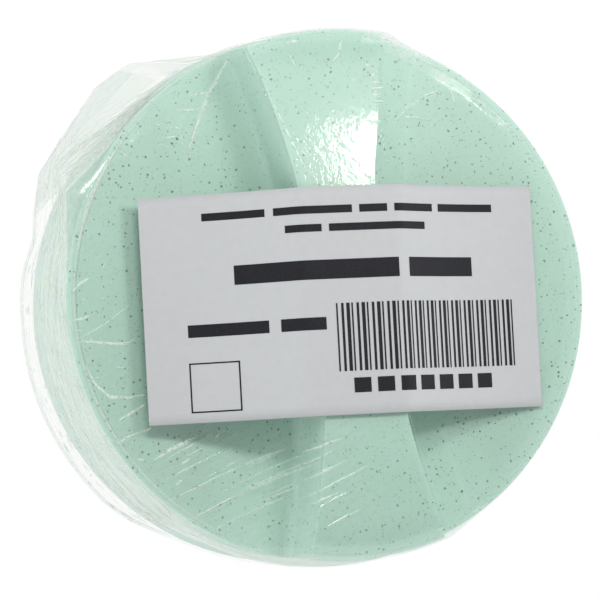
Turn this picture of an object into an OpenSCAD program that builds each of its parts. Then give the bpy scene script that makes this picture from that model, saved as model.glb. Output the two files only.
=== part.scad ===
// Round denture case: a cup-shaped tub and a push-on lid with a bow-tie grip across it,
// still in its clear shrink film, with a plain paper label stuck across the grip.
// Millimetres. +Z is up, Y runs along the grip, and the origin is the middle of the base.

/* [Tub] */
// Outer radius of the wall just above the foot's rounding
tub_foot_r = 45.3; // [45:0.1:45.5]
// Outer radius of the wall at the shoulder, under the lid's skirt
tub_r = 45.6; // [45.5:0.1:45.7]
// Outer radius of the neck that the lid slips over
tub_neck_r = 44; // [43.8:0.1:44.1]
// Height of the tub's rim above the table
tub_rim_z = 32.4; // [31:0.1:32.4]
// Thickness of the neck
neck_wall = 1.4; // [1.2:0.1:1.6]
// Thickness of the wall below the neck
tub_wall = 2; // [1.8:0.1:2.2]
// Thickness of the tub's floor
tub_floor = 2; // [1.8:0.1:2.4]
// Rounding of the foot's outer edge
foot_round = 2.5; // [2:0.1:3]
// Height of the hollow under the floor, inside the foot ring
foot_ring_h = 1; // [0.6:0.1:1.2]
// Width of the foot ring that the case rests on
foot_ring_w = 6.4; // [5:0.1:8]

/* [Lid] */
// Radius of the lid at its top edge
lid_r = 45.2; // [45:0.1:45.4]
// Radius at the lower edge of the skirt
skirt_r = 45.9; // [45.8:0.1:46.1]
// Height of the lid's flat top above the table
lid_z = 36; // [36:0.1:37]
// Height of the skirt's lower edge above the table
skirt_z = 26; // [25.5:0.1:26.5]
// Thickness of the lid's top plate
lid_plate = 1.8; // [1.6:0.1:2]
// Rounding of the edge between the lid's top and its skirt
lid_round = 1.5; // [1.2:0.1:1.8]
// Gap between the tub's neck and the lid's skirt
neck_gap = 0.3; // [0.3:0.05:0.4]
// Gap between the skirt's lower edge and the tub's shoulder
parting_gap = 0.3; // [0.3:0.1:0.5]

/* [Grip] */
// Height of the grip above the lid's top, in the middle
grip_mid_h = 15.5; // [13:0.5:16]
// Height of the grip above the lid's top, at its two ends
grip_end_h = 12; // [10:0.5:12.5]
// Half the width of the grip's top at the waist
grip_waist = 5.6; // [5.2:0.1:6]
// Radius of the arcs, seen from above, that draw the waist in
grip_arc_r = 156; // [150:1:165]
// How far each side wall leans out from the top edge down to the foot
grip_draft = 0.6; // [0.4:0.1:0.8]
// Fillet at the foot of the grip's side walls
grip_fillet = 2; // [1.5:0.1:2.5]
// Rounding over the grip's two ends
grip_end_round = 1.2; // [0.8:0.1:1.5]
// Thickness of the grip's walls over its hollow inside
grip_wall = 1.8; // [1.6:0.1:2]

/* [Film] */
// Thickness that the film's wrinkled layers take up
film_t = 0.3; // [0.2:0.05:0.4]
// Outer radius of the film round the tub's foot
film_foot_r = 46; // [46:0.1:46.2]
// Air left between the film and the plastic
film_air = 0.05; // [0.05:0.05:0.1]
// Distance over which the film comes down from the grip's top edge to the lid
film_reach = 13; // [12:0.5:13]
// Power of the hollow curve in which it comes down
film_curve = 2.2; // [2:0.1:2.4]
// Angle through which the film's hem turns in under the foot's rounding
film_hem_turn = 50; // [30:5:50]
// Radius to which the film's ear stands off at the left
ear_r = 52; // [49:0.5:52]
// Radius at which the ear leaves the lid's edge
ear_root_r = 44.6; // [44.4:0.1:44.8]
// Direction of the ear, counted from the right and against the clock from above
ear_turn = 130; // [125:1:135]
// Slope of the ear's upper side
ear_slope = 63; // [58:1:66]

/* [Label] */
// How far the label reaches to the left of the grip's middle
label_left = 33.2; // [32:0.2:34]
// How far the label reaches to the right of the grip's middle
label_right = 36.4; // [35.6:0.2:37.4]
// Width of the label along the grip
label_h = 38; // [36:0.5:38.5]
// Thickness of the paper
label_t = 0.25; // [0.2:0.05:0.3]
// Angle between the label's short sides and the grip, clockwise from above
label_turn = 4.2; // [0:0.2:4.4]
// How far the label's middle is shifted along the grip
label_shift = -1.4; // [-2:0.1:1]
// Distance from the grip's middle to each of the label's two folds
label_fold = 8.6; // [8.6:0.1:9.2]
// Depth by which the label's two wings sag below a straight slope
label_sag = 2; // [0:0.5:2.5]
// Height by which the label's left end stands up off the lid
label_left_lift = 3.2; // [0:0.2:4]

/* [Hidden] */
$fn = 128;
mint = [0.74, 0.87, 0.81];
film_colour = [0.88, 0.92, 0.91, 0.4];
// the far arcs and the arch are long, so they are drawn with more steps
fine = 720;
// bevel that breaks the edges of the tub's rim
rim_bevel = 0.4;
// the shoulder lies under the skirt, and the wall inside steps in to the neck just below it
shoulder_z = skirt_z - parting_gap;
neck_in_r = tub_neck_r - neck_wall;
neck_step_z = shoulder_z - 1;
// inside of the lid: a straight stretch over the tub's neck, and a narrower one above it
socket_r = tub_neck_r + neck_gap;
socket_z = tub_rim_z + 0.4;
cave_r = lid_r - 1.6;
cave_z = lid_z - lid_plate;
// the lid's side leans in by this much for each millimetre that it rises
lid_lean = (skirt_r - lid_r) / (lid_z - skirt_z);
// the grip's ends carry that side on upwards, and its top is an arch along Y
grip_end_r = lid_r - lid_lean * grip_end_h;
grip_end_z = lid_z + grip_end_h;
grip_top_z = lid_z + grip_mid_h;
arch_drop = grip_mid_h - grip_end_h;
arch_r = (lid_r * lid_r + arch_drop * arch_drop) / (2 * arch_drop);
// the arcs that waist the grip turn about two points far out on the X axis
waist_x = grip_waist + grip_arc_r;
// outside of the film, measured from the plastic
film_out = film_air + film_t;
// the ear is a gusset of film: its corners as angle and distance beyond its root, and its lower and upper end
ear_corners = [[-23, 0.9], [-12, ear_r - 45], [-4, ear_r - ear_root_r], [15, ear_r - 46.3], [38, 0.7]];
ear_low_z = 3;
ear_high_z = lid_z - 0.5;
ear_low_slope = 56;
// the label lies just clear of the film on the grip, and its two ends just clear of the lid's top
label_z = grip_top_z + film_out + 0.05;
label_end_z = lid_z + film_out + 0.45;

// points along an arc about (x, y), from angle a to angle b
function arc_points(x, y, r, a, b, n = 8) =
    [for (i = [0:n]) [x + r * cos(a + (b - a) * i / n), y + r * sin(a + (b - a) * i / n)]];

// points down one wing of the label, which ends at x and at a height of end_z
function wing_points(x, end_z, side, n = 8) =
    [for (i = [0:n]) let (t = i / n) [side * (label_fold + (x - label_fold) * t),
        label_z + (end_z - label_z) * t - 4 * label_sag * t * (1 - t)]];

// a list of points in the opposite order
function backwards(points) = [for (i = [len(points) - 1:-1:0]) points[i]];

// Tub: a cup that stands on a foot ring, with a thinner neck standing up from its shoulder
module tub() {
    inner_foot_r = tub_foot_r - tub_wall;
    floor_z = foot_ring_h + tub_floor;
    ring_in_r = tub_foot_r - foot_round - foot_ring_w;
    color(mint) rotate_extrude() polygon(concat(
        [[0, foot_ring_h], [ring_in_r - foot_ring_h / 2, foot_ring_h], [ring_in_r, 0]],
        arc_points(tub_foot_r - foot_round, foot_round, foot_round, -90, 0),
        [[tub_r, shoulder_z], [tub_neck_r, shoulder_z]],
        [[tub_neck_r, tub_rim_z - rim_bevel], [tub_neck_r - rim_bevel, tub_rim_z]],
        [[neck_in_r + rim_bevel, tub_rim_z], [neck_in_r, tub_rim_z - rim_bevel]],
        [[neck_in_r, neck_step_z], [tub_r - tub_wall, neck_step_z - 2]],
        arc_points(inner_foot_r - foot_round, floor_z + foot_round, foot_round, 0, -90),
        [[0, floor_z]]));
}

// Disc of the lid with its leaning skirt and rounded top edge, grown by g
module lid_disc(g = 0) {
    rotate_extrude() polygon(concat(
        [[0, skirt_z], [skirt_r + g, skirt_z]],
        arc_points(lid_r - lid_round, lid_z - lid_round, lid_round + g, 0, 90),
        [[0, lid_z + g]]));
}

// Envelope of the grip: the lid's side carried on upwards and rounded over at the grip's ends
module grip_envelope(g = 0) {
    rotate_extrude() polygon(concat(
        [[0, skirt_z + 1], [lid_r, skirt_z + 1], [lid_r + g, lid_z - lid_round]],
        arc_points(grip_end_r - grip_end_round, grip_end_z - grip_end_round, grip_end_round + g, 0, 80),
        [[grip_end_r - 14, grip_end_z + 8], [0, grip_end_z + 8]]));
}

// Long cylinder across the grip whose upper side is the grip's arch, grown by g
module grip_arch(g = 0) {
    translate([0, 0, grip_top_z - arch_r]) rotate([0, 90, 0])
        cylinder(r = arch_r + g, h = 3 * lid_r, center = true, $fn = fine);
}

// Space beside the grip: turned about a far axis, with a leaning wall and a fillet at its foot
module finger_space() {
    foot_r = grip_arc_r - grip_draft;
    over_z = grip_top_z + 20;
    for (side = [-1, 1]) translate([side * waist_x, 0, 0]) rotate_extrude($fn = fine) polygon(concat(
        [[60, lid_z]],
        arc_points(foot_r - grip_fillet, lid_z + grip_fillet, grip_fillet, -90, 0),
        [[grip_arc_r, grip_top_z], [grip_arc_r, over_z], [60, over_z]]));
}

// Space beside the film over the grip, grown by g: its wall comes down in a wide hollow curve
module film_space(g = 0, n = 12) {
    wall_r = grip_arc_r - g;
    over_z = grip_top_z + 20;
    curve = [for (i = [0:n]) [wall_r - film_reach * (1 - i / n),
        lid_z + g + grip_mid_h * pow(i / n, film_curve)]];
    for (side = [-1, 1]) translate([side * waist_x, 0, 0]) rotate_extrude($fn = fine)
        polygon(concat([[60, lid_z + g]], curve, [[wall_r, over_z], [60, over_z]]));
}

// Raised bar across the lid with an arched top and the lid's own outline at its ends, grown by g
module grip_bar(g = 0) {
    intersection() {
        grip_envelope(g);
        grip_arch(g);
    }
}

// Hollow inside the grip, open downwards into the lid
module grip_hollow() {
    difference() {
        intersection() {
            translate([0, 0, cave_z - 1]) cylinder(r = grip_end_r - grip_wall, h = 2 * grip_mid_h);
            grip_arch(-grip_wall);
        }
        for (side = [-1, 1]) translate([side * waist_x, 0, 0])
            cylinder(r = grip_arc_r + grip_wall, h = 3 * lid_z, $fn = fine);
    }
}

// Lid: top plate, skirt and hollow grip, moulded in one
module lid() {
    color(mint) difference() {
        union() {
            lid_disc();
            difference() {
                grip_bar();
                finger_space();
            }
        }
        translate([0, 0, skirt_z - 1]) cylinder(r = socket_r, h = socket_z - skirt_z + 1);
        translate([0, 0, skirt_z - 1]) cylinder(r = cave_r, h = cave_z - skirt_z + 1);
        grip_hollow();
    }
}

// Ear of film that stands off the wall, between two heights and grown by g, with a slope above and below
module film_ear(g, low_z, high_z) {
    difference() {
        translate([0, 0, low_z]) linear_extrude(high_z - low_z) polygon([for (p = ear_corners)
            let (a = ear_turn + p[0], r = ear_root_r + p[1] + g) [r * cos(a), r * sin(a)]]);
        rotate([0, 0, ear_turn]) translate([ear_root_r, 0, ear_high_z]) rotate([0, ear_slope, 0])
            translate([-60, -60, g]) cube([120, 120, 60]);
        rotate([0, 0, ear_turn]) translate([ear_root_r, 0, ear_low_z]) rotate([0, -ear_low_slope, 0])
            translate([-60, -60, -60 - g]) cube([120, 120, 60]);
    }
}

// Film round the tub: hangs from just under the skirt and turns in round the foot
module film_round_tub() {
    hem_r = film_foot_r - foot_round;
    inner_round = foot_round - film_t;
    color(film_colour) difference() {
        union() {
            rotate_extrude() polygon(concat(
                [[0, foot_round * (1 - sin(film_hem_turn))]],
                arc_points(hem_r, foot_round, foot_round, -film_hem_turn, 0),
                [[tub_r + film_out, shoulder_z], [0, shoulder_z]]));
            film_ear(film_out, ear_low_z - film_out, shoulder_z);
        }
        rotate_extrude() polygon(concat(
            [[0, -1], [hem_r + inner_round * cos(film_hem_turn), -1]],
            arc_points(hem_r, foot_round, inner_round, -film_hem_turn, 0),
            [[tub_r + film_air, shoulder_z], [tub_r + film_air, shoulder_z + 1], [0, shoulder_z + 1]]));
        film_ear(film_air, ear_low_z - film_air, shoulder_z + 1);
    }
}

// Solid under the film over the lid, grown by g: the lid's disc, the grip under its film, and the ear
module film_form(g, low_z) {
    lid_disc(g);
    difference() {
        grip_bar(g);
        film_space(g);
    }
    film_ear(g, low_z, ear_high_z + g);
}

// Film over the lid: lies on the top and the skirt and spans the corners at the grip's foot
module film_over_lid() {
    color(film_colour) difference() {
        film_form(film_out, skirt_z);
        film_form(film_air, skirt_z - 1);
        translate([0, 0, -0.5]) lid_disc(film_air);
    }
}

// Label: a flat middle over the grip and two sagging wings that come down to the lid's top
module label() {
    left_wing = wing_points(label_left, label_end_z + label_left_lift, -1);
    under = concat(backwards(left_wing), wing_points(label_right, label_end_z, 1));
    over = [for (p = under) [p[0], p[1] + label_t]];
    color("white") translate([0, label_shift, 0]) rotate([0, 0, -label_turn]) rotate([90, 0, 0])
        linear_extrude(label_h, center = true) polygon(concat(under, backwards(over)));
}

tub();
lid();
film_round_tub();
film_over_lid();
label();
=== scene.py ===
import math
import random

import bmesh
import bpy
from mathutils import Matrix, Vector, noise


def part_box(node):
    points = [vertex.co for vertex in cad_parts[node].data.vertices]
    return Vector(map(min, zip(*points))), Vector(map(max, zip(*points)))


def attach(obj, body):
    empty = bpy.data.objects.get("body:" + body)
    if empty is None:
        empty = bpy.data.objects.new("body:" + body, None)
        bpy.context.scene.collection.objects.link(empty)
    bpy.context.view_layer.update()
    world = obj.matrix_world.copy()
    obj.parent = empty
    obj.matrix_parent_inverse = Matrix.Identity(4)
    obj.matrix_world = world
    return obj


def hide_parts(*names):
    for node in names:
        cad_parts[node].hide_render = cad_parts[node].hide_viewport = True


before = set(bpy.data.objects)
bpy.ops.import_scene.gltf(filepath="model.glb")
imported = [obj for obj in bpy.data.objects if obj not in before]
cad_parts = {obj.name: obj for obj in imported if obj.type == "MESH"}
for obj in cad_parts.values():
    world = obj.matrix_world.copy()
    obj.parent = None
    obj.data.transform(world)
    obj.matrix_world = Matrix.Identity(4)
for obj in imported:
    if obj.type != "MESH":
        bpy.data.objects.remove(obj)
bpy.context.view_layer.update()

# ---------------------------------------------------------------- Camera
# It stands almost over the lid and a little to the side of the label's shorter wing,
# so that the lid is seen nearly face on and the left side of the case shows.
MM = 0.001
PHOTO_WIDTH_PX = 600
SENSOR_WIDTH = 36
lid_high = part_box("lid")[1]
grip_height_mm = 15.5
lid_top_z = lid_high.z - grip_height_mm * MM
camera_tilt = math.radians(14.0)
camera_roll = math.radians(7.4)
camera_swing = math.radians(7.0)
camera_distance = 620 * MM
focal_px = 3645.6
lid_centre_px = (29, 3)

back = Vector((
    -math.sin(camera_tilt) * math.cos(camera_swing),
    -math.sin(camera_tilt) * math.sin(camera_swing),
    math.cos(camera_tilt),
))
up = Vector((math.sin(camera_roll), math.cos(camera_roll), 0))
up = (up - back * up.dot(back)).normalized()
right = up.cross(back)
metres_per_px = camera_distance / focal_px
lid_centre = Vector((0, 0, lid_top_z))
aim = lid_centre - right * lid_centre_px[0] * metres_per_px - up * lid_centre_px[1] * metres_per_px
camera_data = bpy.data.cameras.new("camera")
camera_data.sensor_width = SENSOR_WIDTH
camera_data.lens = SENSOR_WIDTH * focal_px / PHOTO_WIDTH_PX
camera_data.clip_start = 10 * MM
camera = bpy.data.objects.new("camera", camera_data)
bpy.context.scene.collection.objects.link(camera)
camera_axes = Matrix((right, up, back)).transposed().to_4x4()
camera.matrix_world = Matrix.Translation(aim + back * camera_distance) @ camera_axes
bpy.context.scene.camera = camera

# ---------------------------------------------------------------- Light
# A softbox high up behind the case throws the label's shadow towards the viewer and draws the
# white streak on the left shoulder. A second one at the right whitens the grip's top, and a low
# one at the left lights the grip's left wall. The room is pale, and brightest low down.
bpy.context.scene.view_settings.view_transform = "Standard"
room_overhead = 0.34
room_low_down = 1.5
room_turn = (0.25, -0.15, 0)
warm_white = (1.0, 0.99, 0.96)
plain_white = (1.0, 0.99, 0.97)
cool_white = (0.97, 0.99, 1.0)
left_softbox_tilt = math.radians(-80)


def add_softbox(name, place, size_x, size_y, watts, colour):
    """A flat lamp that faces down. Its place and sizes are in mm, counted from the lid's middle."""
    lamp_data = bpy.data.lights.new(name, "AREA")
    lamp_data.shape = "RECTANGLE"
    lamp_data.size = size_x * MM
    lamp_data.size_y = size_y * MM
    lamp_data.energy = watts
    lamp_data.color = colour
    lamp = bpy.data.objects.new(name, lamp_data)
    bpy.context.scene.collection.objects.link(lamp)
    lamp.matrix_world = Matrix.Translation(lid_centre + Vector(place) * MM)
    return lamp


add_softbox("back_softbox", (-39, 137, 300), 84, 45, 0.28, warm_white)
add_softbox("right_softbox", (123, 88, 300), 84, 35, 0.27, plain_white)
left_softbox = add_softbox("left_softbox", (-440, 0, 75), 130, 400, 0.36, cool_white)
left_softbox.matrix_world @= Matrix.Rotation(left_softbox_tilt, 4, "Y")
left_softbox.visible_glossy = False


def add_math(tree, operation, *values, clamp=False):
    """The output of a maths node. Each value is a number or another node's output."""
    node = tree.nodes.new("ShaderNodeMath")
    node.operation = operation
    node.use_clamp = clamp
    for socket, value in zip(node.inputs, values):
        if isinstance(value, (int, float)):
            socket.default_value = value
        else:
            tree.links.new(value, socket)
    return node.outputs[0]


world = bpy.data.worlds.new("pale_room")
world.use_nodes = True
tree = world.node_tree
room = tree.nodes["Background"]
room.inputs["Color"].default_value = (0.97, 0.985, 1.0, 1)
toward = tree.nodes.new("ShaderNodeTexCoord").outputs["Generated"]
height_there = tree.nodes.new("ShaderNodeSeparateXYZ")
tree.links.new(toward, height_there.inputs[0])
lean = tree.nodes.new("ShaderNodeVectorMath")
lean.operation = "DOT_PRODUCT"
lean.inputs[1].default_value = room_turn
tree.links.new(toward, lean.inputs[0])
below_top = add_math(tree, "SUBTRACT", 1.0, height_there.outputs["Z"], clamp=True)
low_down = add_math(tree, "POWER", below_top, 2.0)
sided = add_math(tree, "MULTIPLY", low_down, add_math(tree, "ADD", lean.outputs["Value"], 1.0))
room_strength = add_math(tree, "MULTIPLY_ADD", sided, room_low_down, room_overhead)
tree.links.new(room_strength, room.inputs["Strength"])
bpy.context.scene.world = world

# ---------------------------------------------------------------- Floor
# A plain white table top. It shows white to the camera and in reflections,
# and keeps a part of the case's shadow.
floor_size = 8.0
floor_glow_share = 0.95
floor_glow_strength = 1.02

bpy.ops.mesh.primitive_plane_add(size=floor_size, location=(0, 0, 0))
floor = bpy.context.object
floor.name = "floor"
floor_material = bpy.data.materials.new("white_table")
floor_material.use_nodes = True
tree = floor_material.node_tree
nodes, links = tree.nodes, tree.links
nodes.clear()
floor_out = nodes.new("ShaderNodeOutputMaterial")
floor_mix = nodes.new("ShaderNodeMixShader")
floor_diffuse = nodes.new("ShaderNodeBsdfDiffuse")
floor_diffuse.inputs["Color"].default_value = (0.95, 0.96, 0.97, 1)
floor_glow = nodes.new("ShaderNodeEmission")
floor_glow.inputs["Color"].default_value = (1, 1, 1, 1)
floor_glow.inputs["Strength"].default_value = floor_glow_strength
ray = nodes.new("ShaderNodeLightPath").outputs
seen = add_math(tree, "MAXIMUM", ray["Is Camera Ray"], ray["Is Glossy Ray"])
seen = add_math(tree, "MAXIMUM", seen, ray["Is Transmission Ray"])
links.new(add_math(tree, "MULTIPLY", seen, floor_glow_share), floor_mix.inputs[0])
links.new(floor_diffuse.outputs[0], floor_mix.inputs[1])
links.new(floor_glow.outputs[0], floor_mix.inputs[2])
links.new(floor_mix.outputs[0], floor_out.inputs[0])
floor.data.materials.append(floor_material)

# ---------------------------------------------------------------- Lid
# The lid is one moulding of mint polypropylene with dark mineral speckles all through it.
# It is the frame's own lid with the long edges of the grip rounded over, as the mould has them.
grip_edge_round = 1.0 * MM
grip_edge_low_z = lid_top_z + 10.5 * MM
grip_reach_x = 14 * MM
sharp_edge = math.radians(35)
smooth_up_to = math.radians(32)
flat_within = math.radians(0.4)
mint = (0.48, 0.69, 0.585, 1)
mint_pale = (0.55, 0.755, 0.655, 1)
speckle_colour = (0.10, 0.17, 0.145, 1)
speckle_nudge = 0.55 * MM


def new_material(name):
    material = bpy.data.materials.new(name)
    material.use_nodes = True
    return material, material.node_tree.nodes, material.node_tree.links


def add_noise(tree, coordinates, size, detail=2):
    """A noise whose lumps are about the given size."""
    node = tree.nodes.new("ShaderNodeTexNoise")
    node.inputs["Scale"].default_value = 1 / size
    node.inputs["Detail"].default_value = detail
    tree.links.new(coordinates, node.inputs["Vector"])
    return node


def add_speckles(tree, coordinates, cell, dot, keep):
    """A factor that is 1 inside scattered dots up to the given radius, in a share of the cells."""
    least_radius = 0.35
    least_depth = 0.4
    voronoi = tree.nodes.new("ShaderNodeTexVoronoi")
    voronoi.inputs["Scale"].default_value = 1 / cell
    tree.links.new(coordinates, voronoi.inputs["Vector"])
    split = tree.nodes.new("ShaderNodeSeparateColor")
    tree.links.new(voronoi.outputs["Color"], split.inputs[0])
    growth = (1 - least_radius) * dot / cell
    radius = add_math(tree, "MULTIPLY_ADD", split.outputs[0], growth, least_radius * dot / cell)
    nearness = add_math(tree, "DIVIDE", voronoi.outputs["Distance"], radius)
    soft = tree.nodes.new("ShaderNodeMapRange")
    soft.inputs["From Min"].default_value = 0.7
    soft.inputs["From Max"].default_value = 1.15
    soft.inputs["To Min"].default_value = 1.0
    soft.inputs["To Max"].default_value = 0.0
    tree.links.new(nearness, soft.inputs["Value"])
    kept = add_math(tree, "LESS_THAN", split.outputs[1], keep)
    depth = add_math(tree, "MULTIPLY_ADD", split.outputs[2], 1 - least_depth, least_depth)
    return add_math(tree, "MULTIPLY", add_math(tree, "MULTIPLY", soft.outputs[0], kept), depth)


def mix_colour(tree, factor, first, second):
    """A colour between two, each a fixed one or another node's output."""
    mix = tree.nodes.new("ShaderNodeMix")
    mix.data_type = "RGBA"
    for socket, value in ((mix.inputs[0], factor), (mix.inputs[6], first), (mix.inputs[7], second)):
        if isinstance(value, (tuple, float, int)):
            socket.default_value = value
        else:
            tree.links.new(value, socket)
    return mix.outputs[2]


def add_bump(tree, height, strength, distance):
    """A normal bent by a height pattern."""
    bump = tree.nodes.new("ShaderNodeBump")
    bump.inputs["Strength"].default_value = strength
    bump.inputs["Distance"].default_value = distance
    tree.links.new(height, bump.inputs["Height"])
    return bump.outputs[0]


mint_plastic, nodes, links = new_material("mint_speckled_plastic")
tree = mint_plastic.node_tree
plastic = nodes["Principled BSDF"]
plastic.inputs["Roughness"].default_value = 0.38
plastic.inputs["IOR"].default_value = 1.49
plastic.inputs["Subsurface Weight"].default_value = 0.4
plastic.inputs["Subsurface Radius"].default_value = (0.9, 1.0, 0.9)
plastic.inputs["Subsurface Scale"].default_value = 1.2 * MM
place = nodes.new("ShaderNodeTexCoord").outputs["Object"]
# the speckles' outlines are nudged about, so that they aren't round
wobble = add_noise(tree, place, 0.3 * MM, 2)
centred = nodes.new("ShaderNodeVectorMath")
centred.operation = "SUBTRACT"
centred.inputs[1].default_value = (0.5, 0.5, 0.5)
links.new(wobble.outputs["Color"], centred.inputs[0])
nudge = nodes.new("ShaderNodeVectorMath")
nudge.operation = "SCALE"
nudge.inputs["Scale"].default_value = speckle_nudge
links.new(centred.outputs[0], nudge.inputs[0])
ragged = nodes.new("ShaderNodeVectorMath")
links.new(place, ragged.inputs[0])
links.new(nudge.outputs[0], ragged.inputs[1])
large = add_speckles(tree, ragged.outputs[0], 0.95 * MM, 0.23 * MM, 0.9)
small = add_speckles(tree, ragged.outputs[0], 0.5 * MM, 0.14 * MM, 0.9)
cloud = add_noise(tree, place, 7 * MM)
grain = add_noise(tree, place, 0.5 * MM, 3)
half_cloud = add_math(tree, "MULTIPLY", cloud.outputs["Fac"], 0.5)
mottle = add_math(tree, "MULTIPLY_ADD", grain.outputs["Fac"], 0.5, half_cloud)
body_colour = mix_colour(tree, mottle, mint, mint_pale)
with_small = mix_colour(tree, add_math(tree, "MULTIPLY", small, 0.5), body_colour, speckle_colour)
with_large = mix_colour(tree, add_math(tree, "MULTIPLY", large, 0.95), with_small, speckle_colour)
links.new(with_large, plastic.inputs["Base Color"])
mould_texture = add_noise(tree, place, 0.6 * MM).outputs["Fac"]
links.new(add_bump(tree, mould_texture, 0.05, 0.1 * MM), plastic.inputs["Normal"])


def only_select(thing):
    """Makes one object the only one selected, and the active one."""
    bpy.ops.object.select_all(action="DESELECT")
    thing.select_set(True)
    bpy.context.view_layer.objects.active = thing


def merged_copy(node, name):
    """A copy of one of the frame's pieces with its loose triangles joined into one skin."""
    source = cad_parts[node]
    piece = bpy.data.objects.new(name, source.data.copy())
    bpy.context.scene.collection.objects.link(piece)
    only_select(piece)
    bpy.ops.mesh.customdata_custom_splitnormals_clear()
    bpy.ops.object.mode_set(mode="EDIT")
    bpy.ops.mesh.select_all(action="SELECT")
    bpy.ops.mesh.remove_doubles(threshold=0.001 * MM)
    bpy.ops.mesh.dissolve_limited(angle_limit=flat_within)
    bpy.ops.mesh.select_all(action="DESELECT")
    bpy.ops.object.mode_set(mode="OBJECT")
    piece.data.materials.clear()
    return piece


lid = merged_copy("lid", "lid_moulding")
lid.data.materials.append(mint_plastic)
bm = bmesh.new()
bm.from_mesh(lid.data)
long_edges = [
    e for e in bm.edges
    if e.is_manifold and e.calc_face_angle() > sharp_edge
    and all(v.co.z > grip_edge_low_z and abs(v.co.x) < grip_reach_x for v in e.verts)
    and max(f.normal.z for f in e.link_faces) > 0.9
]
for e in bm.edges:
    e.select_set(False)
for e in long_edges:
    e.select_set(True)
bm.to_mesh(lid.data)
bm.free()
bpy.context.tool_settings.mesh_select_mode = (False, True, False)
bpy.ops.object.mode_set(mode="EDIT")
bpy.ops.mesh.bevel(offset=grip_edge_round, segments=5, profile=0.5, clamp_overlap=True)
bpy.ops.mesh.select_all(action="DESELECT")
bpy.ops.object.mode_set(mode="OBJECT")
only_select(lid)
bpy.ops.object.shade_smooth_by_angle(angle=smooth_up_to)
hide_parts("lid")
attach(lid, "lid")

# ---------------------------------------------------------------- Tub
# The tub is the second moulding, from the same speckled plastic: a cup with a thinner neck
# that the lid slips over and a ring under the floor that it stands on.
tub = merged_copy("tub", "tub_moulding")
tub.data.materials.append(mint_plastic)
only_select(tub)
bpy.ops.object.shade_smooth_by_angle(angle=smooth_up_to)
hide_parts("tub")
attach(tub, "tub")

# ---------------------------------------------------------------- Shrink film, its form
# The case is shrunk into clear film, which spans the corners at the grip's foot in a hollow curve.
# At the upper left a stiff ear of it stands off the wall, and it sits slack all down the left side.
# Lengths from here on are in millimetres, and angles round the case in degrees from +X over +Y.
# Four angles of a sector say where something begins, is full, is full no longer and ends.
# The third coordinate of a noise only picks its pattern.

# the lid's top and the grip, whose sides are two arcs and whose top is arched along them
grip_top = round(lid_high.z / MM, 3)
face_z = grip_top - grip_height_mm
shoulder_z = face_z - 0.5
waist_arc_r = 156.0
waist_x = 161.6
arch_r = 293.6
film_lift = 0.2
film_reach = 13.0
hollow_power = 2.2

# the rim, the lid's skirt and the tub, with the film's own level where it turns down
rim_r = 45.2
rim_round = 1.5
rim_turn_r = 42.4
wall_r = 45
side_lean = 0.07
skirt_low = 26.0
tub_top_z = 25.7
tub_film_r = 45.8
tub_flare = 0.1
tub_film_height = 23
foot_round = 2.5

# where the film sits slack, stands off the wall and bends softly over the rim
slack_sector = (112, 150, 222, 246)
stand_off_sector = (150, 168, 218, 240)
stand_off = 1.7
stand_off_depth = 9
left_bend_sector = (95, 112, 170, 215)
left_bend = 14
right_slack_angles = (26, 46)
right_slack_r = 36
right_rise = 0.12
right_slope = 0.1
right_slope_wave = 0.06
broad_length, broad_width = 16, 3.0
fold_length, fold_width = 11, 0.9

# the ear, as angles from its middle and radii, and the folds that run together at its root
ear_turn = 130
ear_root = 44.8
ear_corners = ((-20, 45.6), (-9, 51.8), (-3, 52.2), (16, 50.9), (39, 45.5))
ear_top_slope = math.radians(63)
ear_low_slope = math.radians(56)
ear_low_z = 3
fold_root = 118
fold_squeeze = 0.25
fan_cos, fan_sin = 0.93, 0.36
fan_length, fan_width = 16, 1.5


def smooth_step(low, high, value):
    """0 up to the low value, 1 from the high one, and a smooth rise between them."""
    t = min(max((value - low) / (high - low), 0.0), 1.0)
    return t * t * (3 - 2 * t)


def band(value, begins, full, wanes, ends):
    """1 in the middle of a stretch, 0 outside it, and smooth at both of its ends."""
    return smooth_step(begins, full, value) * (1 - smooth_step(wanes, ends, value))


def soft_max(first, second, blend):
    """The larger of two values, rounded over where they are closer than the blend."""
    gap = max(blend - abs(first - second), 0.0) / blend
    return max(first, second) + gap * gap * blend / 4


def angle_at(x, y):
    return math.degrees(math.atan2(y, x)) % 360


def round_axis(radius, angle, z):
    """The point at a radius, an angle round the case and a height."""
    return (radius * math.cos(math.radians(angle)), radius * math.sin(math.radians(angle)), z)


def grip_foot_x(y, off):
    """Distance from the grip's middle plane to the line that runs off beside its top edge."""
    return waist_x - math.sqrt((waist_arc_r - film_lift - off) ** 2 - y * y)


def film_level(x, y):
    """Height of the smooth film over a place on the lid or its grip."""
    arch = grip_top - arch_r + math.sqrt(arch_r**2 - y * y) + film_lift
    off = waist_arc_r - film_lift - math.hypot(abs(x) - waist_x, y)
    span = face_z + film_lift
    if off < film_reach:
        span += grip_height_mm * (1 - off / film_reach) ** hollow_power
    level = -soft_max(-arch, -span, 1.0)
    # the film is slack over the right rim and slopes down to it, and bends softly over the left one
    edge = math.hypot(x, y)
    angle = angle_at(x, y)
    if edge > right_slack_r and angle < 90 and off > 0:
        slack = smooth_step(*right_slack_angles, angle) * smooth_step(0, 3, off)
        rise = right_rise * smooth_step(right_slack_r, rim_turn_r - 0.2, edge)
        slope = right_slope + right_slope_wave * noise.noise(Vector((angle / 6, 2.2, 0)))
        level += slack * (rise - slope * max(edge - rim_turn_r, 0))
    if edge > rim_turn_r:
        level -= band(angle, *left_bend_sector) * (edge - rim_turn_r) ** 2 / left_bend
    return level


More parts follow.
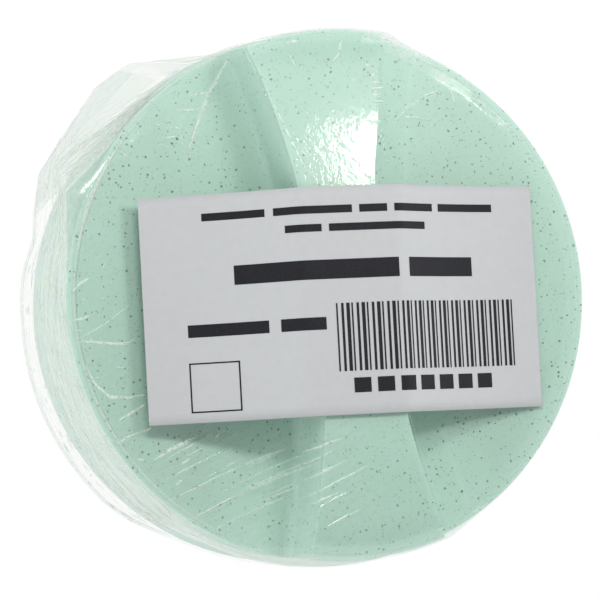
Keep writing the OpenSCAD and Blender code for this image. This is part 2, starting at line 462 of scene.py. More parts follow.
def ear_radius(angle, z):
    """Radius of the ear's outside at an angle round the case and a height, or 0 beside it."""
    turn = (angle - ear_turn + 180) % 360 - 180
    reach = 0.0
    for (a, ra), (b, rb) in zip(ear_corners, ear_corners[1:]):
        if a <= turn <= b:
            low = ra * math.sin(math.radians(turn - a)) + rb * math.sin(math.radians(b - turn))
            reach = ra * rb * math.sin(math.radians(b - a)) / low
    if reach:
        over = ear_root + (shoulder_z - z) / math.tan(ear_top_slope)
        under = ear_root + (z - ear_low_z) / math.tan(ear_low_slope)
        reach = min(reach, min(over, under) / math.cos(math.radians(turn)))
    return reach


def left_share(angle):
    """1 on the slack left side of the case, 0 on its tight right side."""
    return band(angle, *slack_sector)


def gathered(angle, z):
    """Height along the folds, which run round the wall and draw together at the ear's top."""
    if angle < fold_root:
        away = 1 - smooth_step(fold_root - 38, fold_root, angle)
    else:
        away = smooth_step(fold_root, fold_root + 50, angle)
    return face_z - (face_z - z) / (fold_squeeze + (1 - fold_squeeze) * away)


def side_radius(angle, z):
    """Radius of the film's middle surface round the lid's and the tub's wall."""
    if z >= skirt_low - film_lift:
        radius = rim_r + film_lift + side_lean * (face_z - z)
    else:
        radius = tub_film_r + tub_flare * (tub_top_z - z) / tub_film_height
    radius += stand_off * band(angle, *stand_off_sector) * smooth_step(0, stand_off_depth, shoulder_z - z)
    radius = soft_max(radius, ear_radius(angle, z), 0.8)
    # long soft wrinkles and short sharp ones, both higher where the film is slack
    slack = left_share(angle)
    along = math.radians(angle) * wall_r
    across = gathered(angle, z)
    broad = noise.noise(Vector((along / broad_length, across / broad_width, 7.7)))
    fold = noise.noise(Vector((along / fold_length, across / fold_width, 3.1)))
    crinkle = (0.05 + 0.2 * slack) * broad + (0.02 + 0.06 * slack) * fold
    return radius + crinkle * smooth_step(0.0, 1.2, face_z + 0.4 - z)


def along_fan(x, y):
    """A place on the lid's top, counted along and across the folds of the fan at its lower left."""
    return x * fan_cos + y * fan_sin, y * fan_cos - x * fan_sin


def top_crinkle(x, y):
    """Height of the crinkles on the lid's top, which are sharp ribs at the lower left."""
    left = 1 - smooth_step(-35, 0, x)
    low_left = (1 - smooth_step(-26, -16, y)) * (1 - smooth_step(-8, 6, x))
    along, across = along_fan(x, y)
    soft = noise.noise(Vector((x / 8, y / 8, 0.4)))
    ribs = noise.noise(Vector((along / fan_length, across / fan_width, 5.0)))
    return (0.012 + 0.02 * left) * soft + (0.003 * left + 0.045 * low_left) * ribs


def top_place(x, y, lift):
    """A point over the lid's top at a lift above the film."""
    step = 0.1
    slope_x = (film_level(x + step, y) - film_level(x - step, y)) / (2 * step)
    slope_y = (film_level(x, y + step) - film_level(x, y - step)) / (2 * step)
    normal = Vector((-slope_x, -slope_y, 1)).normalized()
    return Vector((x, y, film_level(x, y) + top_crinkle(x, y))) + normal * lift


def side_place(angle, z, lift):
    """A point on the wall at a lift outside the film."""
    return Vector(round_axis(side_radius(angle, z) + lift, angle, z))


def lid_film_point(s, v):
    """Point of the film over the lid. s runs from rim to rim across the grip, v along it."""
    side = 1 if s >= 0 else -1
    size = abs(s)
    settling_rounds = 5
    y = v * 40
    # where a row meets the round rim depends on the film's level there, so it is found in rounds
    for _ in range(settling_rounds):
        edge_x = (rim_r - rim_round) * math.sqrt(1 - v * v / 2)
        foot = grip_foot_x(y, film_reach)
        if size <= 1:
            x = size * grip_foot_x(y, 0)
        elif size <= 2:
            x = grip_foot_x(y, film_reach * (size - 1) ** 1.4)
        else:
            x = foot + (edge_x - foot) * (size - 2)
        z = film_level(x, y)
        start_r = rim_r - rim_round - side_lean * (z - face_z - film_lift) + film_lift
        u = min(x / (start_r * math.sqrt(1 - v * v / 2)), 1.0)
        y = v * start_r * math.sqrt(1 - u * u / 2)
    return side * x, y, z


# ---------------------------------------------------------------- Shrink film, its creases
# Sharp creases are drawn as thin raised ribs on the film. Those on the lid's top stand where
# the real film has them. Those on the wall are scattered, and run together at the ear.
# Their paleness is painted highlight: it whitens the ribs to stand for the glints of light that the
# creases catch.
# A rib's section is given as shares of its width and height.
rib_section = ((-0.5, 0), (-0.22, 0.75), (0.0, 1), (0.22, 0.75), (0.5, 0))
rib_lift = 0.03
rib_points = {"lid": [], "tub": []}
rib_faces = {"lid": [], "tub": []}
rib_painted_glint = {"lid": [], "tub": []}
random_seed = 12
fan_rib_count = 26
fan_rise = 0.37
crumb_count = 34
left_fold_count = 240
right_fold_count = 60
ear_fold_count = 44
ear_fold_top = 35.2
parting_z = 26.6
lid_fold_reach = (26.4, 35.4)
tub_fold_reach = (3, 25.4)


def add_rib(body, path, put, width, height, pale, steps=12):
    """A rib that tapers at both ends, along a path of pairs that put() turns into points."""
    rib = rib_points[body]
    base = len(rib)
    spans = len(path) - 1
    per_step = len(rib_section)
    for k in range(steps + 1):
        t = k / steps
        at = min(int(t * spans), spans - 1)
        part = t * spans - at
        (a0, b0), (a1, b1) = path[at], path[at + 1]
        a, b = a0 + (a1 - a0) * part, b0 + (b1 - b0) * part
        size = math.sin(math.pi * min(max(t, 0.02), 0.98)) ** 0.6
        here = put(a, b, rib_lift)
        ahead = put(a + (a1 - a0) * 0.05, b + (b1 - b0) * 0.05, rib_lift)
        out = (put(a, b, rib_lift + 1) - here).normalized()
        across = (ahead - here).cross(out).normalized()
        for offset, rise in rib_section:
            rib.append(tuple(here + across * offset * width * size + out * rise * height * size))
            # the paleness is painted highlight, whitest along the rib's crest
            rib_painted_glint[body].append(pale if rise else pale * 0.4)
    for k in range(steps):
        for j in range(per_step - 1):
            a = base + k * per_step + j
            rib_faces[body].append((a, a + 1, a + 1 + per_step, a + per_step))


top_creases = (
    # path from its first to its last point, width, height, paleness of the painted glint
    (((-44, 5.7), (-42.4, 7.1), (-40.8, 7.9)), 0.6, 0.2, 0.9),
    (((-44.1, 1.2), (-42.8, 1.2), (-41.4, 1.7)), 0.45, 0.15, 0.9),
    (((-44.1, -0.6), (-43.2, -0.6)), 0.35, 0.12, 0.7),
    (((-44, -2.2), (-39.1, -0.1), (-34.4, 2.6)), 0.45, 0.1, 0.35),
    (((-44, -2.4), (-41.1, -2.9), (-37.3, -3.7), (-35.2, -3.7), (-33.9, -2.9)), 0.5, 0.16, 0.8),
    (((-43.4, -6.2), (-42.0, -9.8), (-39.8, -12.3), (-36.7, -12.8), (-33.4, -12.6)), 0.6, 0.18, 0.7),
    (((-38.9, -16.4), (-36.7, -15.5), (-33.6, -14.1)), 0.45, 0.18, 0.95),
    (((-34.6, -18.8), (-33.3, -18.2)), 0.4, 0.15, 0.95),
    (((-39.6, -20.3), (-37.6, -19.3), (-33.3, -18.3)), 0.5, 0.12, 0.5),
    (((-33.6, -23.7), (-30.4, -22.2), (-28, -21.5), (-25.8, -20.4)), 0.75, 0.25, 1.0),
    (((-29.2, -25.1), (-27.5, -24.1)), 0.4, 0.18, 0.95),
    (((-30.4, -28.3), (-29.3, -27.6)), 0.4, 0.18, 0.95),
    (((-36.5, -23.2), (-35.3, -23.5)), 0.35, 0.15, 0.9),
    (((-32.2, -27.2), (-23.2, -24.2)), 0.5, 0.1, 0.35),
    (((-31.4, -30.7), (-15.1, -25.2)), 0.55, 0.1, 0.3),
    (((-28.8, -34.4), (-14.2, -29.2)), 0.55, 0.1, 0.3),
    (((-23, -21.3), (-21.9, -20.8)), 0.35, 0.15, 0.95),
    (((-24.8, -36.6), (-12.9, -32.3)), 0.5, 0.1, 0.3),
    (((-10.2, -25.3), (-4.4, -23.9)), 0.6, 0.12, 0.5),
    (((-10.8, -30), (-4.4, -27.7)), 0.5, 0.12, 0.4),
    (((-11, -34.2), (-5.6, -32.7)), 0.5, 0.1, 0.35),
    # painted highlight: a broad pale rib with a bright core, for the yellowish streak of light on the
    # taut film
    (((-14.4, 41.2), (-17, 36.4), (-18.9, 32), (-21.3, 27.1)), 1.1, 0.14, 0.35),
    (((-18.2, 33.6), (-19.9, 30), (-21.3, 27.1)), 0.45, 0.2, 1.0),
    # painted highlight: the thin bright line of light along the grip's rounded left top edge
    (((-9.1, 33.4), (-7.2, 27.5), (-4.6, 19.6)), 0.25, 0.08, 0.9),
    (((-22.4, 34.4), (-18.8, 34), (-16.8, 34.7)), 0.3, 0.12, 0.7),
    (((-20.1, 36.5), (-16.9, 36.6)), 0.25, 0.1, 0.6),
    (((-26.3, 32.2), (-25.1, 32.3)), 0.3, 0.12, 0.8),
    (((-24.9, 29.9), (-23, 30)), 0.35, 0.12, 0.8),
    (((-26.2, 29.2), (-24.6, 28.3)), 0.3, 0.12, 0.8),
    (((-24.6, 31.2), (-23.4, 31.7), (-22.1, 31.3)), 0.3, 0.12, 0.8),
    (((-32.7, 28.2), (-31.3, 27.2)), 0.3, 0.12, 0.8),
    (((26, 34.3), (26, 32.5), (26.4, 30.2)), 0.35, 0.14, 0.8),
    (((14.1, 28), (17.5, 30.6), (20.4, 32.2), (24.1, 33.1)), 0.8, 0.1, 0.25),
    (((16.3, 29), (19, 28.9), (21.9, 27.9)), 0.35, 0.08, 0.4),
    (((30.6, 30.7), (31.7, 29.2)), 0.5, 0.15, 0.8),
    (((32.5, 28.7), (34.1, 27.2)), 0.4, 0.15, 0.8),
    (((4.5, 42.3), (4, 41), (3.5, 39.9)), 0.35, 0.12, 0.8),
    (((-5.1, 42.6), (-3, 42.7)), 0.5, 0.12, 0.7),
    (((-4.9, 40.7), (-4.1, 38.3)), 0.3, 0.1, 0.4),
    (((2.3, 38.6), (3.9, 40)), 0.3, 0.1, 0.6),
    (((7.5, 37.3), (8.6, 37.5)), 0.3, 0.1, 0.7),
    (((4.8, 35), (6.5, 35.4)), 0.3, 0.08, 0.4),
    (((8.5, 35.7), (9.4, 35.6)), 0.35, 0.14, 0.9),
    (((8.2, 34.5), (10, 34.2)), 0.35, 0.14, 0.9),
    (((8.2, 33.3), (10.5, 33.4)), 0.35, 0.14, 0.9),
    (((8.1, 32.4), (9.3, 32.1)), 0.35, 0.14, 0.9),
    (((8.1, 31.3), (10.7, 30.9)), 0.35, 0.14, 0.9),
    (((6.9, 27.7), (9.4, 27.8)), 0.4, 0.14, 0.9),
    (((8.2, 26.6), (9.1, 25.5), (8.3, 24.9)), 0.35, 0.14, 0.9),
    (((9.6, 25.8), (10.2, 24.4), (9.5, 23.1)), 0.35, 0.12, 0.8),
    (((10.3, 23), (10.7, 21.6), (11.8, 21)), 0.35, 0.12, 0.8),
    (((8.6, 25.5), (9.6, 26.6)), 0.35, 0.12, 0.8),
)
for path, width, height, pale in top_creases:
    add_rib("lid", path, top_place, width, height, pale)

random.seed(random_seed)
for i in range(fan_rib_count):
    # fan across the lower left of the lid and on over the grip's foot
    t = i / (fan_rib_count - 1)
    x, y = -31 + 22 * t + random.uniform(-2, 2), -22.5 - 12 * t + random.uniform(-4, 4)
    length = random.uniform(4, 11)
    if math.hypot(x, y) < 41:
        end = (x + length, y + fan_rise * length)
        add_rib("lid", ((x, y), end), top_place, 0.4, 0.08, random.uniform(0.1, 0.35))
for i in range(crumb_count):
    # crumbs of creases between the left rim and the label, and beside the grip's upper end
    if i % 2:
        x, y = random.uniform(-43.5, -37), random.uniform(-14, 12)
    else:
        x, y = random.uniform(-29, -20), random.uniform(26, 34)
    turn = random.uniform(-1.2, 1.2)
    length = random.uniform(0.5, 1.4)
    if math.hypot(x, y) < 43:
        end = (x + length * math.cos(turn), y + length * math.sin(turn))
        add_rib("lid", ((x, y), end), top_place, 0.22, 0.08, random.uniform(0.3, 0.8), 5)
for i in range(left_fold_count + right_fold_count):
    # folds round the wall: long ones on the lid's skirt, short crumbs all over, sparse at the right
    left = i < left_fold_count
    crumb = left and i % 3 > 0
    start = random.uniform(135, 226) if left else random.uniform(-110, 110)
    length = random.uniform(0.8, 3) if crumb else random.uniform(4, 16)
    z = random.uniform(3.5, 35.2) if crumb or not left else random.uniform(22, 35.2)
    body = "lid" if z > parting_z else "tub"
    low, high = lid_fold_reach if body == "lid" else tub_fold_reach
    z = min(max(z, low + 0.2), high - 0.2)
    z_end = min(max(z + random.uniform(-1.3, 1.3), low), high)
    pale = random.uniform(0.4, 1.0) if crumb else random.uniform(0.15, 0.5)
    path = ((start, z), (start + length / 2, (z + z_end) / 2 + 0.1), (start + length, z_end))
    width, height = random.uniform(0.2, 0.45), random.uniform(0.05, 0.15)
    add_rib(body, path, side_place, width, height, pale, 6 if crumb else 12)
for i in range(ear_fold_count):
    # folds of the ear, which fan out from its root at the rim
    t = i / (ear_fold_count - 1)
    start = 117 + 12 * t + random.uniform(-1, 1)
    z_end = 34.6 - 8 * random.random()
    halfway = (start + 6 + 8 * t, (ear_fold_top + z_end) / 2 + 0.8)
    path = ((start, ear_fold_top), halfway, (start + 12 + 28 * t, z_end))
    width, height = random.uniform(0.2, 0.45), random.uniform(0.06, 0.15)
    add_rib("lid", path, side_place, width, height, random.uniform(0.2, 0.6), 14)
# the film is drawn tight over the left shoulder; a pale rib there is painted highlight, the white streak
# of light it catches on the rim's rounding
shoulder_highlight = ((-27.6, 34.4), (-31.5, 30.9), (-34.4, 27.7), (-37.2, 23.7), (-39.8, 19.2), (-41.6, 15))
add_rib("lid", shoulder_highlight, top_place, 0.5, 0.1, 0.5, 24)

# ---------------------------------------------------------------- Shrink film, its sheets
# It is parted where the case opens. A sheet this thin and creased is made point by point.
# Point attributes say how milky it is, how much it mirrors ("gloss"), and carry the place along
# and across its folds ("weave"). It is milky where it is slack and gathered, and clear where it is tight.
# The same milk paints highlights: the glints on the creases' ribs and the bright band along the upper
# right rim.
row_count = 176
round_steps = 6
side_steps = 30
turn_count = 640
wall_steps = 56
foot_steps = 6
foot_turn = math.radians(50)
foot_inward = 2.35
foot_low_z = 0.1
tight_low_sector = (226, 238, 256, 264)
low_left_sector = (205, 225, 250, 262)
# the bright band along the upper right rim is painted highlight, laid into the film's milk over this
# sector
painted_sheen_rim_sector = (44, 58, 78, 80)
painted_sheen_rim_rows = 12
top_haze, top_left_haze, fan_haze, painted_sheen_rim_share = 0.012, 0.03, 0.04, 0.4
wall_haze, slack_haze, upper_haze, lower_haze, low_left_haze = 0.08, 0.07, 0.22, 0.12, 0.17
film_tint = (0.985, 0.99, 0.988, 1)
milk_colour = (0.86, 0.90, 0.87, 1)
milk_through_share = 0.35
warm_sheen = (1.0, 0.98, 0.9, 1)
cool_sheen = (0.98, 0.975, 1.0, 1)
film_ior = 1.5
mirror_limit = 0.28
mirror_gain = 1.5
light_let_in = 0.75
rib_fibre = 0.8


def columns(first, last, count):
    return [first + (last - first) * i / count for i in range(count)]


# the columns lie over the lid's left, the grip's left foot, its top, its right foot and the lid's
# right, and are closest together at the rim
column_values = (
    columns(-3, -2.9, 7) + columns(-2.9, -2, 36) + columns(-2, -1, 26) + columns(-1, 1, 30)
    + columns(1, 2, 26) + columns(2, 2.9, 36) + columns(2.9, 3, 7) + [3]
)
row_values = [math.sin(math.pi / 2 * (2 * j / row_count - 1)) for j in range(row_count + 1)]
points, haze_and_painted_sheen, weave, gloss = [], [], [], []
for v in row_values:
    for s in column_values:
        x, y, z = lid_film_point(s, v)
        edge = math.hypot(x, y)
        lift = top_crinkle(x, y) * (1 - smooth_step(rim_turn_r, rim_turn_r + rim_round, edge))
        points.append((x, y, z + lift))
        angle = angle_at(x, y)
        fan = (1 - smooth_step(-24, -17, y)) * (1 - smooth_step(-6, 4, x))
        at_rim = smooth_step(41.8, 42.6, edge)
        # painted highlight: milk along the upper right rim, where the film catches the light
        painted_sheen_rim = at_rim * band(angle, *painted_sheen_rim_sector)
        milky = top_haze + top_left_haze * smooth_step(8, 40, -x) + fan_haze * fan
        haze_and_painted_sheen.append(milky + painted_sheen_rim_share * painted_sheen_rim)
        spanning = band(abs(s), 1.0, 1.15, 2.0, 2.3)
        gloss.append(1 - 0.8 * max(spanning, at_rim * (1 - left_share(angle))))
        along, across = along_fan(x, y)
        weave.append((along / 5, across / (1.0 if fan > 0.3 else 2.5), 0))
width = len(column_values)
faces = []
for j in range(row_count):
    for i in range(width - 1):
        a = j * width + i
        faces.append((a, a + 1, a + 1 + width, a + width))
# the points of the top's edge, in order round the lid
rim_loop = (
    [i for i in range(width)]
    + [j * width + width - 1 for j in range(1, row_count + 1)]
    + [row_count * width + i for i in range(width - 2, -1, -1)]
    + [j * width for j in range(row_count - 1, 0, -1)]
)


def tight_low(angle, z):
    """1 at the lower left of the tub, where the film lies close and the wall shows dark."""
    return band(angle, *tight_low_sector) * (1 - smooth_step(22, 26, z))


def side_haze(angle, z):
    """How milky the film is on the wall."""
    gathered_high = smooth_step(26, 31, z)
    gathered_low = 1 - smooth_step(4, 11, z)
    low_left = band(angle, *low_left_sector) * smooth_step(24, 27, z)
    milky = slack_haze + upper_haze * gathered_high + lower_haze * gathered_low
    milky = wall_haze + left_share(angle) * milky + low_left_haze * low_left
    return milky * (1 - 0.8 * tight_low(angle, z))


# the skirt goes on from the top's rim, ring by ring: first round the rim, then down the wall
previous = rim_loop
for k in range(1, round_steps + side_steps + 1):
    ring = []
    for start in rim_loop:
        x, y, z = points[start]
        angle = angle_at(x, y)
        start_r = math.hypot(x, y)
        low_z = z - rim_round
        if k <= round_steps:
            # the rounding goes on from the slope that the film comes with
            inner_level = film_level(0.99 * x, 0.99 * y)
            fall = (inner_level - film_level(x, y)) / (0.01 * start_r)
            first = math.atan(min(max(fall, 0), 1))
            turn = first + (math.pi / 2 - first) * k / round_steps
            out_r = side_radius(angle, low_z)
            done = (math.sin(turn) - math.sin(first)) / (1 - math.sin(first))
            radius = start_r + (out_r - start_r) * done
            level = low_z + rim_round * math.cos(turn) / math.cos(first)
        else:
            t = (k - round_steps) / side_steps
            level = low_z + (skirt_low + 0.1 - low_z) * t
            radius = side_radius(angle, level)
        ring.append(len(points))
        points.append(round_axis(radius, angle, level))
        # the top's rim milk, with its painted highlight, fades down the first rings
        fading_rim = haze_and_painted_sheen[start] * (1 - k / painted_sheen_rim_rows)
        haze_and_painted_sheen.append(max(side_haze(angle, level) * min(k / round_steps, 1), fading_rim))
        gloss.append(0.2 + 0.6 * max(left_share(angle), smooth_step(0, 8, k - round_steps)))
        weave.append((math.radians(angle) * wall_r / 9, gathered(angle, level) / 0.55, 3))
    for i in range(len(ring)):
        n = (i + 1) % len(ring)
        faces.append((previous[i], previous[n], ring[n], ring[i]))
    previous = ring


def add_sheet(name, body, points, faces, haze_and_painted_sheen, weave, gloss, material):
    """One film sheet with the ribs of its creases."""
    base = len(points)
    all_points = points + rib_points[body]
    all_faces = faces + [tuple(base + i for i in face) for face in rib_faces[body]]
    mesh = bpy.data.meshes.new(name)
    mesh.from_pydata([[c * MM for c in p] for p in all_points], [], all_faces)
    rib_gloss = [1.0] * len(rib_points[body])
    rib_weave = [tuple(c / rib_fibre for c in p) for p in rib_points[body]]
    for attribute, values in (("haze_and_painted_sheen", haze_and_painted_sheen + rib_painted_glint[body]), ("gloss", gloss + rib_gloss)):
        mesh.attributes.new(attribute, "FLOAT", "POINT").data.foreach_set("value", values)
    woven = mesh.attributes.new("weave", "FLOAT_VECTOR", "POINT")
    woven.data.foreach_set("vector", [c for p in weave + rib_weave for c in p])
    sheet = bpy.data.objects.new(name, mesh)
    bpy.context.scene.collection.objects.link(sheet)
    only_select(sheet)
    bpy.ops.object.shade_smooth()
    sheet.data.materials.append(material)
    return sheet


def sheet_attribute(tree, name):
    """The outputs of a node that reads one of the sheets' own attributes."""
    reader = tree.nodes.new("ShaderNodeAttribute")
    reader.attribute_name = name
    return reader.outputs


# the film's body is clear, with fibres of milk in it where it is hazy; the same milk paints the
# highlights on the creases' ribs and along the upper right rim
film_material, nodes, links = new_material("clear_shrink_film")
tree = film_material.node_tree
nodes.clear()
film_out = nodes.new("ShaderNodeOutputMaterial")
clear = nodes.new("ShaderNodeBsdfTransparent")
clear.inputs["Color"].default_value = film_tint
milk = nodes.new("ShaderNodeBsdfDiffuse")
milk.inputs["Color"].default_value = milk_colour
milk_through = nodes.new("ShaderNodeBsdfTranslucent")
milk_through.inputs["Color"].default_value = milk_colour
milk_mix = nodes.new("ShaderNodeMixShader")
milk_mix.inputs[0].default_value = milk_through_share
links.new(milk.outputs[0], milk_mix.inputs[1])
links.new(milk_through.outputs[0], milk_mix.inputs[2])
haze_and_sheen_here = sheet_attribute(tree, "haze_and_painted_sheen")["Fac"]
gloss_here = sheet_attribute(tree, "gloss")["Fac"]
fibres = add_noise(tree, sheet_attribute(tree, "weave")["Vector"], 1.0, 4).outputs["Fac"]
uneven = add_math(tree, "MULTIPLY_ADD", fibres, 4.0, -1.0)
uneven = add_math(tree, "MAXIMUM", uneven, 0.25)
milk_and_sheen_share = add_math(tree, "MULTIPLY", uneven, haze_and_sheen_here, clamp=True)
film_body = nodes.new("ShaderNodeMixShader")
links.new(milk_and_sheen_share, film_body.inputs[0])
links.new(clear.outputs[0], film_body.inputs[1])
links.new(milk_mix.outputs[0], film_body.inputs[2])

# its skin mirrors the room, broken up by small folds and, where it is milky, by the fibres
place = nodes.new("ShaderNodeTexCoord").outputs["Object"]
fold_bump = add_bump(tree, add_noise(tree, place, 1.2 * MM, 3).outputs["Fac"], 0.25, 0.1 * MM)
fibre_bump = add_bump(tree, fibres, 1.0, 0.1 * MM)
fibre_strength = add_math(tree, "MULTIPLY", haze_and_sheen_here, 1.2, clamp=True)
links.new(fibre_strength, fibre_bump.node.inputs["Strength"])
links.new(fold_bump, fibre_bump.node.inputs["Normal"])
tint = add_noise(tree, place, 2.5 * MM, 1)
tinted = add_math(tree, "MULTIPLY_ADD", tint.outputs["Fac"], 3.0, -1.0, clamp=True)
sheen = mix_colour(tree, tinted, warm_sheen, cool_sheen)
shine = nodes.new("ShaderNodeBsdfAnisotropic")
links.new(add_math(tree, "MULTIPLY_ADD", haze_and_sheen_here, 0.5, 0.08), shine.inputs["Roughness"])
links.new(sheen, shine.inputs["Color"])
links.new(fibre_bump, shine.inputs["Normal"])
fresnel = nodes.new("ShaderNodeFresnel")
fresnel.inputs["IOR"].default_value = film_ior
links.new(fibre_bump, fresnel.inputs["Normal"])
mirrored = add_math(tree, "MINIMUM", fresnel.outputs[0], mirror_limit)
mirrored = add_math(tree, "MULTIPLY", mirrored, mirror_gain)
film_mix = nodes.new("ShaderNodeMixShader")
links.new(add_math(tree, "MULTIPLY", mirrored, gloss_here), film_mix.inputs[0])
links.new(film_body.outputs[0], film_mix.inputs[1])
links.new(shine.outputs[0], film_mix.inputs[2])

# light on its way in loses next to nothing in so thin a film
let_in = nodes.new("ShaderNodeMixShader")
shadow_ray = nodes.new("ShaderNodeLightPath").outputs["Is Shadow Ray"]
links.new(add_math(tree, "MULTIPLY", shadow_ray, light_let_in), let_in.inputs[0])
links.new(film_mix.outputs[0], let_in.inputs[1])
links.new(clear.outputs[0], let_in.inputs[2])
links.new(let_in.outputs[0], film_out.inputs[0])

lid_film = add_sheet("film_over_lid_sheet", "lid", points, faces, haze_and_painted_sheen, weave, gloss, film_material)
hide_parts("film_over_lid")
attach(lid_film, "lid")

# the lower half is a tube from under the lid's skirt down to the foot's rounding
points, haze_and_painted_sheen, weave, gloss, faces = [], [], [], [], []
tube_top_z = tub_top_z - 0.05
for k in range(wall_steps + foot_steps + 1):
    for i in range(turn_count):
        angle = 360 * i / turn_count
        if k <= wall_steps:
            level = tube_top_z + (foot_round - tube_top_z) * k / wall_steps
            radius = side_radius(angle, level)
        else:
            turn = foot_turn * (k - wall_steps) / foot_steps
            level = foot_round - (foot_round - foot_low_z) * math.sin(turn)
            radius = side_radius(angle, foot_round) - foot_inward * (1 - math.cos(turn))
        points.append(round_axis(radius, angle, level))
        haze_and_painted_sheen.append(side_haze(angle, level))
        gloss.append(0.7 - 0.6 * tight_low(angle, level))
        weave.append((math.radians(angle) * wall_r / 5, gathered(angle, level), 3))
for k in range(wall_steps + foot_steps):
    for i in range(turn_count):
        n = (i + 1) % turn_count
        a, b = k * turn_count + i, k * turn_count + n
        faces.append((a, a + turn_count, b + turn_count, b))
tub_film = add_sheet("film_round_tub_sheet", "tub", points, faces, haze_and_painted_sheen, weave, gloss, film_material)
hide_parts("film_round_tub")
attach(tub_film, "tub")

# ---------------------------------------------------------------- Label
# A self-adhesive paper label, stuck on over the film. It is folded softly over the grip,
# and its two wings slope down to the lid's top. The left one ends a little above it.
label_left = 33.2
label_right = 36.4
label_height = 38.0
label_fold = 8.6
label_sag = 2.0
label_shift = -1.4
label_turn = math.radians(-4.2)
label_left_lift = 3.2
label_ease = 0.045
label_wave = 0.05
label_under_top = 0.14
label_end_rise = 0.93
paper_thickness = 0.12
patch_step = 0.006
patch_step_down = 8 * patch_step
label_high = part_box("label")[1]
label_top_z = label_high.z / MM - label_under_top
label_end_z = face_z + label_end_rise
paper_shade = (0.535, 0.545, 0.555, 1)
paper_light = (0.585, 0.595, 0.60, 1)


def label_level(x):
    """Height of the label's middle surface at a place across the grip, with soft folds."""
    reach = label_right if x > 0 else label_left
    t = (abs(x) - label_fold) / (reach - label_fold)
    drop = label_top_z - label_end_z - (0 if x > 0 else label_left_lift)
    if t < -label_ease:
        return label_top_z
    slope = drop + 4 * label_sag
    if t < label_ease:
        return label_top_z - slope * (t + label_ease) ** 2 / (4 * label_ease)
    return label_top_z - drop * t - 4 * label_sag * t * (1 - t)


def on_label(across, along, lift=0.0):
    """A point of the label. across and along run from 0 to 1 from its upper left corner."""
    x = -label_left + (label_left + label_right) * across
    y = label_height * (0.5 - along)
    step = 0.05
    slope = (label_level(x + step) - label_level(x - step)) / (2 * step)
    length = math.hypot(1, slope)
    z = label_level(x) + lift / length
    x -= lift * slope / length
    wave = label_wave * noise.noise(Vector((x / 9, y / 12, 2.0)))
    cos_t, sin_t = math.cos(label_turn), math.sin(label_turn)
    return (x * cos_t - y * sin_t, x * sin_t + y * cos_t + label_shift, z + wave)


def label_patch(across_0, across_1, along_0, along_1, lift):
    """The points and faces of a part of the label, at a lift over its middle surface."""
    across_count = max(1, math.ceil((across_1 - across_0) / patch_step))
    along_count = max(1, math.ceil((along_1 - along_0) / patch_step_down))
    patch_points = []
    for j in range(along_count + 1):
        for i in range(across_count + 1):
            across = across_0 + (across_1 - across_0) * i / across_count
            along = along_0 + (along_1 - along_0) * j / along_count
            patch_points.append(on_label(across, along, lift))
    row = across_count + 1
    patch_faces = [
        (j * row + i, (j + 1) * row + i, (j + 1) * row + i + 1, j * row + i + 1)
        for j in range(along_count) for i in range(across_count)
    ]
    return patch_points, patch_faces


def add_patches(name, patches, material):
    """One piece that is made of all the patches."""
    all_points, all_faces = [], []
    for patch_points, patch_faces in patches:
        base = len(all_points)
        all_points += patch_points
        all_faces += [tuple(base + i for i in face) for face in patch_faces]
    mesh = bpy.data.meshes.new(name)
    mesh.from_pydata([[c * MM for c in p] for p in all_points], [], all_faces)
    piece = bpy.data.objects.new(name, mesh)
    bpy.context.scene.collection.objects.link(piece)
    piece.data.materials.append(material)
    only_select(piece)
    bpy.ops.object.shade_smooth()
    return piece


paper, nodes, links = new_material("white_label_paper")
tree = paper.node_tree
sheet_shader = nodes["Principled BSDF"]
sheet_shader.inputs["Roughness"].default_value = 0.55
sheet_shader.inputs["Specular IOR Level"].default_value = 0.3
fibre = add_noise(tree, nodes.new("ShaderNodeTexCoord").outputs["Object"], 1.4 * MM, 4).outputs["Fac"]
links.new(mix_colour(tree, fibre, paper_shade, paper_light), sheet_shader.inputs["Base Color"])
links.new(add_bump(tree, fibre, 0.15, 0.05 * MM), sheet_shader.inputs["Normal"])

label = add_patches("label_sheet", [label_patch(0, 1, 0, 1, 0)], paper)
only_select(label)
thicken = label.modifiers.new("paper", "SOLIDIFY")
thicken.thickness = paper_thickness * MM
thicken.offset = -1
bpy.ops.object.modifier_apply(modifier=thicken.name)
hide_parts("label")
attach(label, "lid")

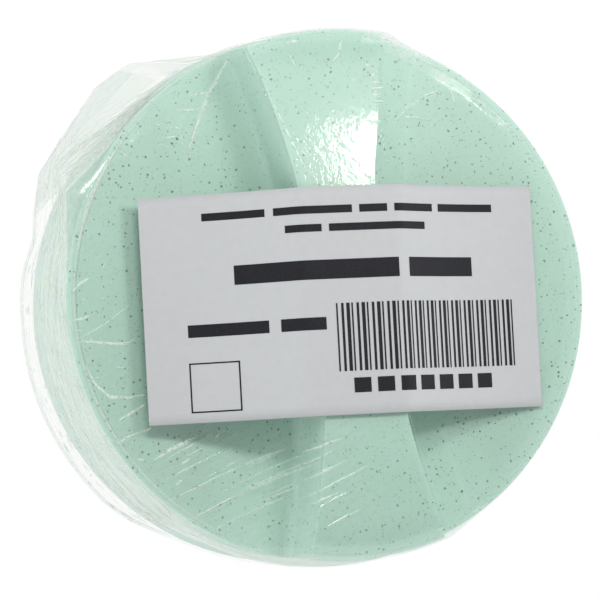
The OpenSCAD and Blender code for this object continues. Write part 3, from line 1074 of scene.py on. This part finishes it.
# ---------------------------------------------------------------- Print on the label
# Black print in a plain layout of its own: rows of bars where lines of words would stand,
# an empty frame and a block of stripes. It spells and encodes nothing.
# Places and widths are shares of the label's width and height, from its upper left corner.
ink_lift = 0.03
ink_dark = (0.012, 0.012, 0.016, 1)
ink_pale = (0.03, 0.03, 0.036, 1)
print_rows = (
    # left, right, top, bottom, lengths of the bars against each other, gap between them
    (0.145, 0.885, 0.083, 0.117, (6, 8, 3, 5, 7), 0.018),
    (0.324, 0.68, 0.163, 0.196, (3, 9), 0.018),
    (0.211, 0.817, 0.32, 0.405, (10, 5), 0.03),
    (0.1015, 0.408, 0.57, 0.625, (7, 4), 0.025),
)
frame_left, frame_right, frame_top, frame_low = 0.10, 0.214, 0.737, 0.956
line_x, line_y = 0.0035, 0.0065
stripe_count = 40
stripe_left, stripe_right, stripe_top, stripe_low = 0.433, 0.938, 0.512, 0.81
stripe_shares = (0.32, 0.5, 0.68)
block_row = (0.468, 0.859, 0.84, 0.905, (1, 1, 1, 1, 1, 1, 1), 0.016)

ink, nodes, links = new_material("black_ink")
ink_shader = nodes["Principled BSDF"]
ink_shader.inputs["Roughness"].default_value = 0.5
ink_shader.inputs["Specular IOR Level"].default_value = 0.12
tree = ink.node_tree
ink_noise = add_noise(tree, nodes.new("ShaderNodeTexCoord").outputs["Object"], 0.3 * MM).outputs["Fac"]
links.new(mix_colour(tree, ink_noise, ink_dark, ink_pale), ink_shader.inputs["Base Color"])


def word_row(across_0, across_1, along_0, along_1, words, gap):
    """Bars in a row, with the given relative lengths."""
    free = across_1 - across_0 - gap * (len(words) - 1)
    unit = free / sum(words)
    start = across_0
    bars = []
    for word in words:
        bars.append(label_patch(start, start + unit * word, along_0, along_1, ink_lift))
        start += unit * word + gap
    return bars


printed = []
for row in print_rows:
    printed += word_row(*row)
printed.append(label_patch(frame_left, frame_right, frame_top, frame_top + line_y, ink_lift))
printed.append(label_patch(frame_left, frame_right, frame_low - line_y, frame_low, ink_lift))
printed.append(label_patch(frame_left, frame_left + line_x, frame_top, frame_low, ink_lift))
printed.append(label_patch(frame_right - line_x, frame_right, frame_top, frame_low, ink_lift))
pitch = (stripe_right - stripe_left) / stripe_count
for i in range(stripe_count):
    thickness = pitch * stripe_shares[i % len(stripe_shares)]
    start = stripe_left + i * pitch
    printed.append(label_patch(start, start + thickness, stripe_top, stripe_low, ink_lift))
printed += word_row(*block_row)
label_print = add_patches("label_print", printed, ink)
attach(label_print, "lid")
